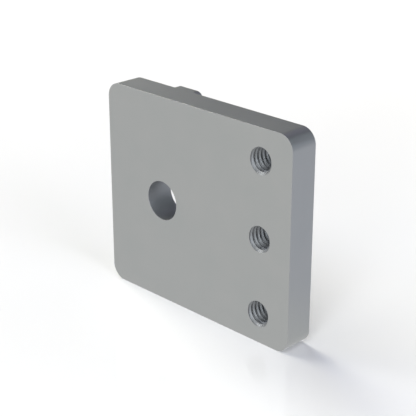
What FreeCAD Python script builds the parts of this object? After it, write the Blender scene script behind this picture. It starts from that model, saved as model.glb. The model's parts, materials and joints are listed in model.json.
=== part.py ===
# Rack mounting plate, in millimetres.
# A flat machined plate that bolts to a slotted upright through one plain hole.
# Two low lugs on its back sit in the upright's slot and keep it from turning.
# Its three tapped holes are one rack unit, so a rack panel screws onto its front.
#
# Frame: +Z up, the front face looks along -Y, the lugs point along +Y.
# The origin is the plain hole's centre in the back face, at half the plate's height.

import FreeCAD, Part
import math
import os
import Sketcher

NODE = "mounting_plate"

SIZES = {
    "plate_width": 50.8,
    "plate_height": 44.45,
    "plate_thickness": 6.35,
    "corner_radius": 3.175,
    "edge_break": 0.15,
    "bolt_hole_diameter": 8.334,
    "bolt_hole_from_left": 15.875,
    "tapped_hole_from_right": 7.9375,
    "tapped_hole_pitch": 15.875,
    "tapped_hole_count": 3,
    "tap_drill_diameter": 4.5,
    "mouth_depth": 0.5,
    "lug_width": 8.1,
    "lug_height": 9.525,
    "lug_depth": 1.6,
    "lug_corner_radius": 1.8,
}

doc = FreeCAD.newDocument("RackMountingPlate")


def make_sheet():
    """Put each driving size in a cell of its own, with its name as the alias."""
    sheet = doc.addObject("Spreadsheet::Sheet", "Sizes")
    for row, (name, size) in enumerate(SIZES.items(), start=1):
        sheet.set("A%d" % row, name)
        sheet.set("B%d" % row, str(size))
        sheet.setAlias("B%d" % row, name)
    doc.recompute()
    return sheet


def sketch_on_back(body, name, forward=None):
    """Start a sketch in the back face's plane, or in one that lies forward of it."""
    plane = next(o for o in body.Origin.OriginFeatures if o.Role == "XZ_Plane")
    sketch = body.newObject("Sketcher::SketchObject", name)
    sketch.AttachmentSupport = (plane, [""])
    sketch.MapMode = "FlatFace"
    if forward:
        sketch.setExpression("AttachmentOffset.Base.z", forward)
    return sketch


def drive(sketch, name, formula, kind, *places):
    """Add one dimension to a sketch and bind it to the sheet."""
    size = float(sketch.evalExpression(formula))
    index = sketch.addConstraint(Sketcher.Constraint(kind, *places, size))
    sketch.renameConstraint(index, name)
    sketch.setExpression("Constraints." + name, formula)


def draw_rounded_rectangle(sketch, width, height, radius, left, bottom):
    """Draw a rectangle with rounded corners; every argument is a formula."""
    wide, high, r, x, z = (
        float(sketch.evalExpression(f)) for f in (width, height, radius, left, bottom)
    )
    normal = FreeCAD.Vector(0, 0, 1)

    def point(px, pz):
        return FreeCAD.Vector(px, pz, 0)

    def side(x1, z1, x2, z2):
        return sketch.addGeometry(Part.LineSegment(point(x1, z1), point(x2, z2)))

    def corner(cx, cz, quarter):
        circle = Part.Circle(point(cx, cz), normal, r)
        start = quarter * math.pi / 2
        return sketch.addGeometry(Part.ArcOfCircle(circle, start, start + math.pi / 2))

    sides = [
        side(x + r, z, x + wide - r, z),
        side(x + wide, z + r, x + wide, z + high - r),
        side(x + wide - r, z + high, x + r, z + high),
        side(x, z + high - r, x, z + r),
    ]
    corners = [
        corner(x + wide - r, z + r, 3),
        corner(x + wide - r, z + high - r, 0),
        corner(x + r, z + high - r, 1),
        corner(x + r, z + r, 2),
    ]
    for i in range(4):
        following = sides[(i + 1) % 4]
        sketch.addConstraint(Sketcher.Constraint("Tangent", sides[i], 2, corners[i], 1))
        sketch.addConstraint(Sketcher.Constraint("Tangent", corners[i], 2, following, 1))
    for flat in (sides[0], sides[2]):
        sketch.addConstraint(Sketcher.Constraint("Horizontal", flat))
    for upright in (sides[1], sides[3]):
        sketch.addConstraint(Sketcher.Constraint("Vertical", upright))
    for other in corners[1:]:
        sketch.addConstraint(Sketcher.Constraint("Equal", corners[0], other))
    drive(sketch, "radius", radius, "Radius", corners[0])
    drive(sketch, "width", width, "DistanceX", sides[3], 1, sides[1], 1)
    drive(sketch, "height", height, "DistanceY", sides[0], 1, sides[2], 1)
    drive(sketch, "left", left, "DistanceX", -1, 1, sides[3], 1)
    drive(sketch, "bottom", bottom, "DistanceY", -1, 1, sides[0], 1)


def draw_circle(sketch, diameter, across, up):
    """Draw a circle whose centre lies across and up from the origin."""
    x, z, d = (float(sketch.evalExpression(f)) for f in (across, up, diameter))
    circle = Part.Circle(FreeCAD.Vector(x, z, 0), FreeCAD.Vector(0, 0, 1), d / 2)
    index = sketch.addGeometry(circle)
    drive(sketch, "diameter", diameter, "Diameter", index)
    drive(sketch, "across", across, "DistanceX", -1, 1, index, 3)
    drive(sketch, "up", up, "DistanceY", -1, 1, index, 3)


def edges_of(feature, wanted):
    """Name the edges of a feature's shape that a test picks."""
    edges = feature.Shape.Edges
    names = ["Edge%d" % (i + 1) for i, edge in enumerate(edges) if wanted(edge)]
    assert names, "no edge found on " + feature.Name
    return names


def lies_at(edge, depth):
    """Whether a whole edge lies in the plane at this distance along Y."""
    box = edge.BoundBox
    return max(abs(box.YMin - depth), abs(box.YMax - depth)) < 1e-6


def is_rim(edge, radius):
    """Whether an edge is a circle of this radius."""
    return isinstance(edge.Curve, Part.Circle) and abs(edge.Curve.Radius - radius) < 1e-6


def chamfer(body, name, feature, wanted, size):
    """Chamfer the edges of a feature that a test picks, at 45 degrees."""
    cut = body.newObject("PartDesign::Chamfer", name)
    cut.Base = (feature, edges_of(feature, wanted))
    cut.setExpression("Size", size)
    doc.recompute()
    return cut


def make_plate(body):
    """The blank: a rounded rectangle cut from flat bar, its outline deburred."""
    outline = sketch_on_back(body, "PlateOutline")
    draw_rounded_rectangle(
        outline,
        width="Sizes.plate_width",
        height="Sizes.plate_height",
        radius="Sizes.corner_radius",
        left="-Sizes.bolt_hole_from_left",
        bottom="-Sizes.plate_height / 2",
    )
    plate = body.newObject("PartDesign::Pad", "Plate")
    plate.Profile = outline
    plate.setExpression("Length", "Sizes.plate_thickness")
    doc.recompute()
    front = -sheet.plate_thickness
    return chamfer(
        body,
        "PlateEdgeBreak",
        plate,
        lambda edge: lies_at(edge, 0) or lies_at(edge, front),
        "Sizes.edge_break",
    )


def make_lugs(body):
    """The upper lug, flush with the plate's top edge, and its mirror image below."""
    outline = sketch_on_back(body, "LugOutline")
    draw_rounded_rectangle(
        outline,
        width="Sizes.lug_width",
        height="Sizes.lug_height",
        radius="Sizes.lug_corner_radius",
        left="-Sizes.lug_width / 2",
        bottom="Sizes.plate_height / 2 - Sizes.lug_height",
    )
    lug = body.newObject("PartDesign::Pad", "UpperLug")
    lug.Profile = outline
    lug.SideType = "Two sides"
    lug.setExpression("Length", "Sizes.plate_thickness / 2")
    lug.setExpression("Length2", "Sizes.lug_depth")
    doc.recompute()
    both = body.newObject("PartDesign::Mirrored", "BothLugs")
    both.Originals = [lug]
    plane = next(o for o in body.Origin.OriginFeatures if o.Role == "XY_Plane")
    both.MirrorPlane = (plane, [""])
    body.Tip = both
    doc.recompute()
    back = sheet.lug_depth
    return chamfer(
        body, "LugEdgeBreak", both, lambda edge: lies_at(edge, back), "Sizes.edge_break"
    )


def drill(body, name, sketch, diameter):
    """Drill straight through from the front face, and check that metal was cut."""
    before = body.Shape.Volume
    hole = body.newObject("PartDesign::Hole", name)
    hole.Profile = sketch
    doc.recompute()
    hole.DepthType = "ThroughAll"
    hole.setExpression("Diameter", diameter)
    doc.recompute()
    assert hole.Shape.Volume < before - 1, name + " cut nothing"
    return hole


def make_bolt_hole(body):
    """The plain hole for the bolt that holds the plate to the upright."""
    centre = sketch_on_back(body, "BoltHoleCentre", forward="Sizes.plate_thickness")
    draw_circle(centre, "Sizes.bolt_hole_diameter", across="0", up="0")
    return drill(body, "BoltHole", centre, "Sizes.bolt_hole_diameter")


def make_tapped_holes(body):
    """Three holes at tapping size, one rack unit, countersunk at both mouths."""
    centre = sketch_on_back(body, "TappedHoleCentre", forward="Sizes.plate_thickness")
    from_origin = "Sizes.plate_width - Sizes.bolt_hole_from_left - Sizes.tapped_hole_from_right"
    draw_circle(
        centre,
        "Sizes.tap_drill_diameter",
        across=from_origin,
        up="-Sizes.tapped_hole_pitch * (Sizes.tapped_hole_count - 1) / 2",
    )
    lowest = drill(body, "LowestTappedHole", centre, "Sizes.tap_drill_diameter")
    row = body.newObject("PartDesign::LinearPattern", "TappedHoleRow")
    row.Originals = [lowest]
    row.Direction = (centre, ["V_Axis"])
    row.Mode = "Spacing"
    row.setExpression("Offset", "Sizes.tapped_hole_pitch")
    row.setExpression("Occurrences", "Sizes.tapped_hole_count")
    body.Tip = row
    doc.recompute()
    radius = sheet.tap_drill_diameter / 2
    return chamfer(
        body, "TappedHoleMouths", row, lambda edge: is_rim(edge, radius), "Sizes.mouth_depth"
    )


def check(body):
    """Stop if any object failed or the body isn't one sound solid."""
    for item in doc.Objects:
        failed = {"Invalid", "Error"} & set(item.State)
        assert not failed, item.Name + " failed"
    shape = body.Shape
    assert not shape.isNull() and shape.isValid(), body.Label + " isn't sound"
    assert len(shape.Solids) == 1, body.Label + " isn't one solid"


sheet = make_sheet()
body = doc.addObject("PartDesign::Body", NODE)
body.Label = NODE
make_plate(body)
make_lugs(body)
make_bolt_hole(body)
make_tapped_holes(body)
body.Placement = FreeCAD.Placement()
doc.recompute()
check(body)
os.makedirs("parts", exist_ok=True)
body.Shape.exportStep("parts/" + NODE + ".step")
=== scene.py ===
# Rack mounting plate: a flat aluminium plate that carries a rack panel on a slotted upright.
# The frame gives its size and the places of its holes; metres, +Z up, front face along -Y.

import json
import math

import bmesh
import bpy
from mathutils import Euler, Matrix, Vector


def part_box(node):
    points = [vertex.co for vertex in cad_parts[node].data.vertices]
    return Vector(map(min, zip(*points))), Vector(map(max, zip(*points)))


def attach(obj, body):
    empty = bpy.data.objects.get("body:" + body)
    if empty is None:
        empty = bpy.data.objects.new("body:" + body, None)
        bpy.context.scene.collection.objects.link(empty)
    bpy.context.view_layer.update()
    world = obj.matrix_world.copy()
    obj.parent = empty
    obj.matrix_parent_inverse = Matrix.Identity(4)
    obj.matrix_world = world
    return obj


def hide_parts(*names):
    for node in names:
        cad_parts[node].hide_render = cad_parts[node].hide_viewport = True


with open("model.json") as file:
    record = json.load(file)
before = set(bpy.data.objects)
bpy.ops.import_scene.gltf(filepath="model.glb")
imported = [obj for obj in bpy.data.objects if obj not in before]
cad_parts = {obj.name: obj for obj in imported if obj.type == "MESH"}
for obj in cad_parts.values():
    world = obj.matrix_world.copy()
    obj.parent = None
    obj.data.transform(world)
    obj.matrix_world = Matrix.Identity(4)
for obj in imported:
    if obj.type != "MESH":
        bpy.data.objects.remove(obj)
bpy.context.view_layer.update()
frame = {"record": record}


# The blank: aluminium flat bar sawn to length, its corners milled to a radius and its edges
# broken with a fine abrasive, so little that no line of light shows on them. The CAD node
# gives the outside size, and the two faces' mounts give the thickness.
MM = 0.001
mounts = {mount["name"]: mount for mount in frame["record"]["mounts"]}
PLATE_LOW, PLATE_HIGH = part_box("mounting_plate")
FRONT = mounts["front_face"]["pos_m"][1]
BACK = mounts["back_face"]["pos_m"][1]
CORNER_RADIUS = 3.175 * MM
CORNER_STEPS = 20
EDGE_BREAK = 0.02 * MM
EDGE_STEPS = 3
SAME_PLACE = 0.0001 * MM


def edges_along_y(bm):
    """The edges that run from front to back."""
    return [e for e in bm.edges if abs((e.verts[0].co - e.verts[1].co).normalized().y) > 0.99]


def edges_at(bm, depth):
    """The edges that lie in one plane across Y."""
    return [e for e in bm.edges if all(abs(v.co.y - depth) < SAME_PLACE for v in e.verts)]


def slab(low, high, radius, broken):
    """A block with its corners rounded, seen from the front, and the named faces' edges broken."""
    bm = bmesh.new()
    size = high - low
    bmesh.ops.create_cube(bm, size=1.0)
    bmesh.ops.scale(bm, vec=size, verts=bm.verts)
    bmesh.ops.translate(bm, vec=(low + high) / 2, verts=bm.verts)
    bmesh.ops.bevel(
        bm, geom=edges_along_y(bm), offset=radius, offset_type="OFFSET", affect="EDGES",
        segments=CORNER_STEPS, profile=0.5, material=-1,
    )
    for depth in broken:
        bmesh.ops.bevel(
            bm, geom=edges_at(bm, depth), offset=EDGE_BREAK, offset_type="OFFSET",
            affect="EDGES", segments=EDGE_STEPS, profile=0.5, material=-1,
        )
    bmesh.ops.recalc_face_normals(bm, faces=bm.faces)
    return bm


def finish_mesh(bm, name):
    """Turn a bmesh into an object at the origin."""
    mesh = bpy.data.meshes.new(name)
    bm.to_mesh(mesh)
    bm.free()
    thing = bpy.data.objects.new(name, mesh)
    bpy.context.scene.collection.objects.link(thing)
    return thing


plate = finish_mesh(
    slab(
        Vector((PLATE_LOW.x, FRONT, PLATE_LOW.z)),
        Vector((PLATE_HIGH.x, BACK, PLATE_HIGH.z)),
        CORNER_RADIUS,
        broken=(FRONT, BACK),
    ),
    "threaded_plate",
)


# The two lugs on the back: left standing when the back was milled down, so they are one
# piece with the plate. Each ends flush with the plate's edge and sits in the upright's slot,
# so that the plate can't turn on its bolt.
LUG_WIDTH = 8.1 * MM
LUG_HEIGHT = 9.525 * MM
LUG_CORNER_RADIUS = 1.8 * MM
LUG_ROOT = (FRONT + BACK) / 2
SEAM = 0.001 * MM


def lug(bottom):
    """One lug, with its root inside the plate."""
    return finish_mesh(
        slab(
            Vector((-LUG_WIDTH / 2, LUG_ROOT, bottom)),
            Vector((LUG_WIDTH / 2, PLATE_HIGH.y, bottom + LUG_HEIGHT)),
            LUG_CORNER_RADIUS,
            broken=(PLATE_HIGH.y,),
        ),
        "lug",
    )


def combine(target, tool, operation):
    """Join a tool to the plate or cut it out, delete the tool and close the seam."""
    step = target.modifiers.new("step", "BOOLEAN")
    step.operation = operation
    step.solver = "EXACT"
    step.object = tool
    bpy.context.view_layer.update()
    solved = target.evaluated_get(bpy.context.evaluated_depsgraph_get())
    bm = bmesh.new()
    bm.from_mesh(solved.to_mesh())
    bmesh.ops.remove_doubles(bm, verts=bm.verts, dist=SEAM)
    bmesh.ops.dissolve_degenerate(bm, dist=SEAM, edges=bm.edges)
    bmesh.ops.recalc_face_normals(bm, faces=bm.faces)
    solved.to_mesh_clear()
    target.modifiers.clear()
    bm.to_mesh(target.data)
    bm.free()
    bpy.data.objects.remove(tool)


combine(plate, lug(PLATE_HIGH.z - LUG_HEIGHT), "UNION")
combine(plate, lug(PLATE_LOW.z), "UNION")


# The bolt hole: drilled and reamed straight through the aluminium, with its two rims just
# deburred. A plain bolt goes through it into the upright.
HOLE_STEPS = 128
RIM_STEPS = 4
OVERRUN = 1.0 * MM
MACHINED = 1


def as_tool(bm, place, name):
    """A cutter at its hole, whose cut faces are machined bare metal."""
    for face in bm.faces:
        face.material_index = MACHINED
    bmesh.ops.translate(bm, vec=place, verts=bm.verts)
    return finish_mesh(bm, name)


def turned(outline, place, name):
    """A closed round cutter: an outline of (radius, depth) points, turned about Y and capped."""
    bm = bmesh.new()
    points = [bm.verts.new((radius, depth, 0)) for radius, depth in outline]
    sides = [bm.edges.new(pair) for pair in zip(points, points[1:])]
    bmesh.ops.spin(
        bm, geom=points + sides, cent=(0, 0, 0), axis=(0, 1, 0), dvec=(0, 0, 0),
        angle=math.tau, steps=HOLE_STEPS, use_merge=True, use_duplicate=False,
    )
    bmesh.ops.remove_doubles(bm, verts=bm.verts, dist=SAME_PLACE)
    bmesh.ops.holes_fill(bm, edges=bm.edges, sides=0)
    bmesh.ops.recalc_face_normals(bm, faces=bm.faces)
    return as_tool(bm, place, name)


def rounded_rim(radius, face, inward, round_radius):
    """Outline points that flare a hole's wall into a face through a small round."""
    arc = []
    for i in range(RIM_STEPS + 1):
        turn = math.pi / 2 * i / RIM_STEPS
        out = round_radius * (1 - math.cos(turn))
        along = round_radius * (1 - math.sin(turn))
        arc.append((radius + out, face + inward * along))
    return arc


bolt = mounts["bolt_hole"]
BOLT_HOLE_RADIUS = bolt["dims"]["r_mm"] * MM
RIM_ROUND = 0.05 * MM
front_rim = rounded_rim(BOLT_HOLE_RADIUS, FRONT, 1, RIM_ROUND)
back_rim = rounded_rim(BOLT_HOLE_RADIUS, BACK, -1, RIM_ROUND)
flare = BOLT_HOLE_RADIUS + RIM_ROUND
reamer = [(flare, FRONT - OVERRUN)] + front_rim[::-1] + back_rim + [(flare, BACK + OVERRUN)]
combine(plate, turned(reamer, (bolt["pos_m"][0], 0, bolt["pos_m"][2]), "reamer"), "DIFFERENCE")


# The three tapped holes: drilled, and cut straight through both faces with a right-handed
# rack-screw thread of 6 mm, one turn to the millimetre. The tap leaves narrow flat crests and
# roots and no countersink, and the flatter side of its groove faces the front.
THREAD_PITCH = 1.0 * MM
CREST_RADIUS = 2.48 * MM
ROOT_RADIUS = 3.0 * MM
CREST_FLAT = 0.17 * MM
ROOT_FLAT = 0.08 * MM
STEEP_SIDE = 0.30 * MM
GROOVE_AT_LEFT = 0.33 * MM
THREAD_STEPS = 96
TURNS_OUTSIDE = 2
SHARP_FROM = math.radians(35)


def tap(place):
    """A solid thread: a row of teeth turned once about Y while it climbs by one pitch."""
    tooth = [
        (CREST_RADIUS, -ROOT_FLAT / 2 - STEEP_SIDE - CREST_FLAT),
        (CREST_RADIUS, -ROOT_FLAT / 2 - STEEP_SIDE),
        (ROOT_RADIUS, -ROOT_FLAT / 2),
        (ROOT_RADIUS, ROOT_FLAT / 2),
    ]
    low = FRONT - OVERRUN
    high = BACK + OVERRUN
    turns = math.ceil((high - low) / THREAD_PITCH) + TURNS_OUTSIDE + 1
    first = FRONT + GROOVE_AT_LEFT - (TURNS_OUTSIDE + 0.5) * THREAD_PITCH
    bm = bmesh.new()
    points = [
        bm.verts.new((radius, first + turn * THREAD_PITCH + along, 0))
        for turn in range(turns)
        for radius, along in tooth
    ]
    sides = [bm.edges.new(pair) for pair in zip(points, points[1:])]
    bmesh.ops.spin(
        bm, geom=points + sides, cent=(0, 0, 0), axis=(0, 1, 0),
        dvec=(0, THREAD_PITCH / THREAD_STEPS, 0), angle=math.tau, steps=THREAD_STEPS,
        use_merge=False, use_duplicate=False,
    )
    bmesh.ops.remove_doubles(bm, verts=bm.verts, dist=SAME_PLACE)
    for depth, side in ((low, -1), (high, 1)):
        bmesh.ops.bisect_plane(
            bm, geom=bm.verts[:] + bm.edges[:] + bm.faces[:], plane_co=(0, depth, 0),
            plane_no=(0, side, 0), clear_outer=True,
        )
    bmesh.ops.holes_fill(bm, edges=bm.edges, sides=0)
    bmesh.ops.recalc_face_normals(bm, faces=bm.faces)
    return as_tool(bm, place, "tap")


for name in ("tapped_hole_lower", "tapped_hole_middle", "tapped_hole_upper"):
    hole = mounts[name]["pos_m"]
    combine(plate, tap((hole[0], 0, hole[2])), "DIFFERENCE")

for face in plate.data.polygons:
    face.use_smooth = True
plate.data.set_sharp_from_angle(angle=SHARP_FROM)
even = plate.modifiers.new("even_shading", "WEIGHTED_NORMAL")
even.keep_sharp = True

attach(plate, "root")
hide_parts("mounting_plate")


# The finish: the faces and edges are bead-blasted and then clear anodised. The beads leave
# an even grain of dimples with no direction, drawn coarser than real ones, so the grey metal
# looks satin and shows no clear reflection. The anodising leaves it very slightly cloudy.
def linear(hex_colour):
    """An sRGB hex colour as a linear one."""
    channels = [int(hex_colour[i : i + 2], 16) / 255 for i in (1, 3, 5)]
    return [c / 12.92 if c <= 0.04045 else ((c + 0.055) / 1.055) ** 2.4 for c in channels] + [1]


def node(tree, kind, settings, links):
    """Add a node: its properties and socket values by name, then the sockets that feed it."""
    new = tree.nodes.new(kind)
    for name, value in settings.items():
        if name in new.inputs:
            new.inputs[name].default_value = value
        else:
            setattr(new, name, value)
    for name, source in links.items():
        tree.links.new(source, new.inputs[name])
    return new


def blank_material(name):
    """A material with an empty node tree."""
    material = bpy.data.materials.new(name)
    material.use_nodes = True
    material.node_tree.nodes.clear()
    return material


DIMPLE = 0.30 * MM
DIMPLE_DEPTH = 0.012 * MM
CLOUD = 7.0 * MM

blasted = blank_material("aluminium_bead_blasted_clear_anodised")
tree = blasted.node_tree
place = node(tree, "ShaderNodeTexCoord", {}, {}).outputs["Object"]
dimples = node(
    tree, "ShaderNodeTexNoise",
    {"Scale": 1 / DIMPLE, "Detail": 2.0, "Roughness": 0.6}, {"Vector": place},
)
clouds = node(
    tree, "ShaderNodeTexNoise",
    {"Scale": 1 / CLOUD, "Detail": 3.0, "Roughness": 0.55}, {"Vector": place},
)
tone = node(tree, "ShaderNodeValToRGB", {}, {"Fac": clouds.outputs["Fac"]})
tone.color_ramp.elements[0].position = 0.3
tone.color_ramp.elements[0].color = linear("#A5A7A6")
tone.color_ramp.elements[1].position = 0.7
tone.color_ramp.elements[1].color = linear("#A8A9A8")
satin = node(
    tree, "ShaderNodeMapRange",
    {"From Min": 0.3, "From Max": 0.7, "To Min": 0.42, "To Max": 0.44},
    {"Value": clouds.outputs["Fac"]},
)
pitted = node(
    tree, "ShaderNodeBump",
    {"Strength": 0.35, "Distance": DIMPLE_DEPTH}, {"Height": dimples.outputs["Fac"]},
)
metal = node(
    tree, "ShaderNodeBsdfPrincipled", {"Metallic": 1.0},
    {
        "Base Color": tone.outputs["Color"],
        "Roughness": satin.outputs["Result"],
        "Normal": pitted.outputs["Normal"],
    },
)
node(tree, "ShaderNodeOutputMaterial", {}, {"Surface": metal.outputs["BSDF"]})


# Inside the holes the metal is as the reamer and the tap left it, under the same clear
# anodising: fine feed rings run round each hole, and they scatter the light, so the walls
# look a little duller than the blasted faces. Their colour is drawn a little darker than the
# faces', a painted shade inside the holes. Bands of scale 1 are a tenth of pi apart.
FEED = 0.12 * MM
BAND = 0.1 * math.pi
RING_DEPTH = 0.002 * MM

machined = blank_material("aluminium_machined_clear_anodised")
tree = machined.node_tree
place = node(tree, "ShaderNodeTexCoord", {}, {}).outputs["Object"]
rings = node(
    tree, "ShaderNodeTexWave",
    {"bands_direction": "Y", "Scale": BAND / FEED, "Distortion": 0.6, "Detail": 1.0},
    {"Vector": place},
)
turned_lines = node(
    tree, "ShaderNodeBump",
    {"Strength": 0.3, "Distance": RING_DEPTH}, {"Height": rings.outputs["Fac"]},
)
streaks = node(
    tree, "ShaderNodeMapRange", {"To Min": 0.54, "To Max": 0.58}, {"Value": rings.outputs["Fac"]}
)
# Painted shade: the hole walls' base colour is a little darker than the blasted faces'.
painted_shade_wall_metal = node(
    tree, "ShaderNodeBsdfPrincipled", {"Metallic": 1.0, "Base Color": linear("#9C9E9F")},
    {"Roughness": streaks.outputs["Result"], "Normal": turned_lines.outputs["Normal"]},
)
node(tree, "ShaderNodeOutputMaterial", {}, {"Surface": painted_shade_wall_metal.outputs["BSDF"]})

plate.data.materials.append(blasted)
plate.data.materials.append(machined)


# The floor: a polished white acrylic sheet with a faint, clear reflection of the plate. To
# the camera it glows more the farther it lies from the plate, so it is white far off and keeps
# the shadow; the weaker glow near the plate is a painted shade round it. The metal mirrors a
# glowing white sheet with a painted shade behind the plate, that isn't sampled as a lamp.
FLOOR_REACH = 3.0
GLOW_STARTS = 30 * MM
GLOW_FULL = 300 * MM
GLOW_SEEN = 0.374
GLOW_MIRRORED = 0.934
SHADE_REACH = 20 * MM
PLATE_MIDDLE = (PLATE_LOW + PLATE_HIGH) / 2

sheet = bmesh.new()
bmesh.ops.create_grid(sheet, x_segments=1, y_segments=1, size=FLOOR_REACH)
bmesh.ops.translate(sheet, vec=(0, 0, PLATE_LOW.z), verts=sheet.verts)
floor = finish_mesh(sheet, "floor")

white = blank_material("white_acrylic_sheet_polished")
tree = white.node_tree
ray = node(tree, "ShaderNodeLightPath", {}, {}).outputs
place = node(tree, "ShaderNodeTexCoord", {}, {}).outputs["Object"]
away = node(tree, "ShaderNodeVectorMath", {"operation": "DISTANCE"}, {0: place})
away.inputs[1].default_value = (PLATE_MIDDLE.x, PLATE_MIDDLE.y, PLATE_LOW.z)
# Painted shade: the glow is nil close to the plate and grows outwards, so the floor round the
# plate reads darker.
glow_fading_to_painted_shade = node(
    tree, "ShaderNodeMapRange",
    {"From Min": GLOW_STARTS, "From Max": GLOW_FULL, "To Min": 0.0, "To Max": GLOW_SEEN},
    {"Value": away.outputs["Value"]},
)
glow = node(
    tree, "ShaderNodeMath", {"operation": "MULTIPLY"},
    {0: ray["Is Camera Ray"], 1: glow_fading_to_painted_shade.outputs["Result"]},
)
acrylic = node(
    tree, "ShaderNodeBsdfPrincipled",
    {
        "Base Color": linear("#F3F3F3"),
        "Roughness": 0.0,
        "Emission Color": linear("#FFFAF2"),
    },
    {"Emission Strength": glow.outputs["Value"]},
)
# Painted shade: the sheet the metal mirrors is tinted darker and bluer behind the plate.
depth = node(tree, "ShaderNodeSeparateXYZ", {}, {"Vector": place}).outputs["Y"]
behind = node(
    tree, "ShaderNodeMapRange", {"From Min": 0.0, "From Max": SHADE_REACH}, {"Value": depth}
)
shaded = node(tree, "ShaderNodeValToRGB", {}, {"Fac": behind.outputs["Result"]})
shaded.color_ramp.elements[0].color = linear("#FDFEFF")
shaded.color_ramp.elements[1].color = linear("#ECEFF9")
mirrored_white_painted_shade = node(
    tree, "ShaderNodeEmission", {"Strength": GLOW_MIRRORED}, {"Color": shaded.outputs["Color"]}
)
sheet_light = node(
    tree, "ShaderNodeMixShader", {},
    {0: ray["Is Glossy Ray"], 1: acrylic.outputs["BSDF"], 2: mirrored_white_painted_shade.outputs["Emission"]},
)
node(tree, "ShaderNodeOutputMaterial", {}, {"Surface": sheet_light.outputs["Shader"]})
white.cycles.emission_sampling = "NONE"
floor.data.materials.append(white)


# The studio light: broad soft lamps, far enough off to light the whole sheet evenly, in a dim
# room whose walls are white to the camera. A row says where a lamp stands, seen from the
# plate: degrees round from +X, degrees up, its width in degrees, its strength and its colour.
LAMPS = {
    "front_left_low": (250, 9, 16, 0.50, "#FFF8E4"),
    "front_right_low": (290, 9, 16, 0.82, "#F2F8FF"),
    "front_right_high": (-60, 50, 27, 1.01, "#F6FAFF"),
    "right": (-5, 25, 27, 1.15, "#F1F0FF"),
    "back_right_low": (45, 12, 20, 0.10, "#E2EFFF"),
    "back": (75, 25, 27, 0.19, "#E5F1FF"),
    "back_high": (105, 45, 27, 0.07, "#DDD9FF"),
    "left_back_high": (160, 50, 27, 0.72, "#D7E0FF"),
    "left_back": (170, 35, 27, 1.55, "#FFF9D7"),
    "left_front": (200, 42, 27, 1.10, "#FFFDF8"),
    "front_left": (225, 22, 27, 0.45, "#E0E9FF"),
}
ROOM_GLOW = 0.06

for name, (around, up, width, strength, colour) in LAMPS.items():
    light = bpy.data.lights.new(name, "SUN")
    light.angle = math.radians(width)
    light.energy = strength
    light.color = linear(colour)[:3]
    lamp = bpy.data.objects.new(name, light)
    lamp.rotation_euler = Euler((math.radians(90 - up), 0, math.radians(around + 90)))
    bpy.context.scene.collection.objects.link(lamp)

room = bpy.data.worlds.new("dim_room")
room.use_nodes = True
bpy.context.scene.world = room
tree = room.node_tree
tree.nodes.clear()
ray = node(tree, "ShaderNodeLightPath", {}, {}).outputs
glow = node(tree, "ShaderNodeMath", {"operation": "MAXIMUM"}, {0: ray["Is Camera Ray"]})
glow.inputs[1].default_value = ROOM_GLOW
air = node(
    tree, "ShaderNodeBackground", {"Color": linear("#FFFFFF")}, {"Strength": glow.outputs["Value"]}
)
node(tree, "ShaderNodeOutputWorld", {}, {"Surface": air.outputs["Background"]})


# The camera: a long lens that looks down on the plate from its front right, so that the
# front, the right end and the top are seen.
LENS = 102.587
HEADING = 45.127
TILT = 22.379
DISTANCE = 238.784 * MM
AIM = Vector((9.769, -2.811, 0.203)) * MM

lens = bpy.data.cameras.new("camera")
lens.lens = LENS
lens.clip_start = 0.01
lens.clip_end = 20.0
camera = bpy.data.objects.new("camera", lens)
camera.rotation_euler = Euler((math.radians(90 - TILT), 0, math.radians(HEADING)))
camera.location = AIM + camera.rotation_euler.to_matrix() @ Vector((0, 0, DISTANCE))
bpy.context.scene.collection.objects.link(camera)
bpy.context.scene.camera = camera
bpy.context.scene.view_settings.view_transform = "Standard"
